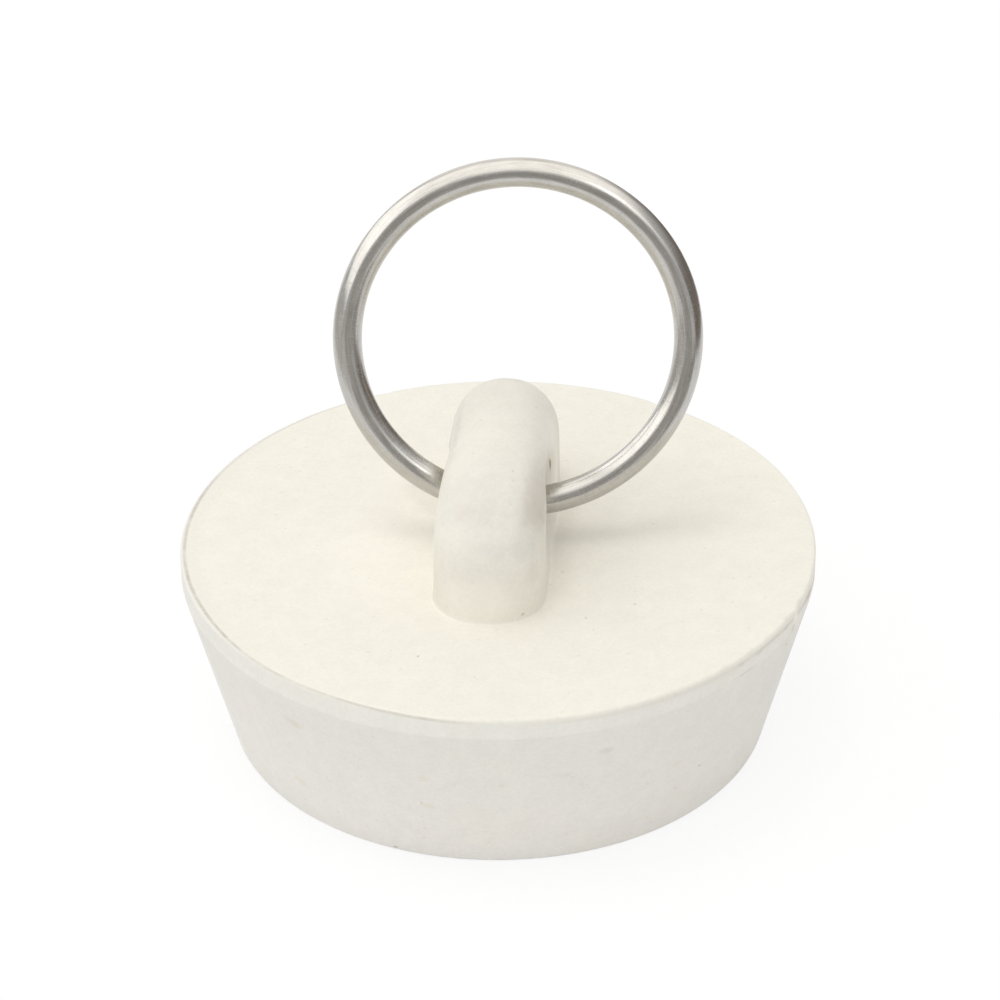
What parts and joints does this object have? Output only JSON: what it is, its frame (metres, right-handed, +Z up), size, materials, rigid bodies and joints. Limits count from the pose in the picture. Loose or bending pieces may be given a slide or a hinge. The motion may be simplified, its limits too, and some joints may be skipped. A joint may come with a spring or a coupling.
{
  "type": "drain stopper",
  "caption": "Tapered white rubber drain stopper with a moulded bail on its flat top and a steel wire pull ring that swings in the bail's eye.",
  "frame": {"origin": "centre of the plug's flat underside, on the plug's axis", "axes": "+Z up along the plug's axis, towards the ring; the bail runs along Y and its eye along X; -Y is the side that faces the viewer"},
  "size_m": [0.0444, 0.0444, 0.0406],
  "materials": {
    "white_rubber": "matte, cream white, faintly mottled",
    "ring_steel": "satin drawn wire"
  },
  "bodies": {
    "stopper": {"rubber_stopper": "white_rubber"},
    "ring": {"pull_ring": "ring_steel"}
  },
  "joints": [
    {"name": "ring_swing", "type": "hinge", "parent": "stopper", "child": "ring", "pos_m": [0, 0, 0.01715], "axis": [0.9959, 0.0906, 0], "range_deg": [-81, 108.6]}
  ]
}
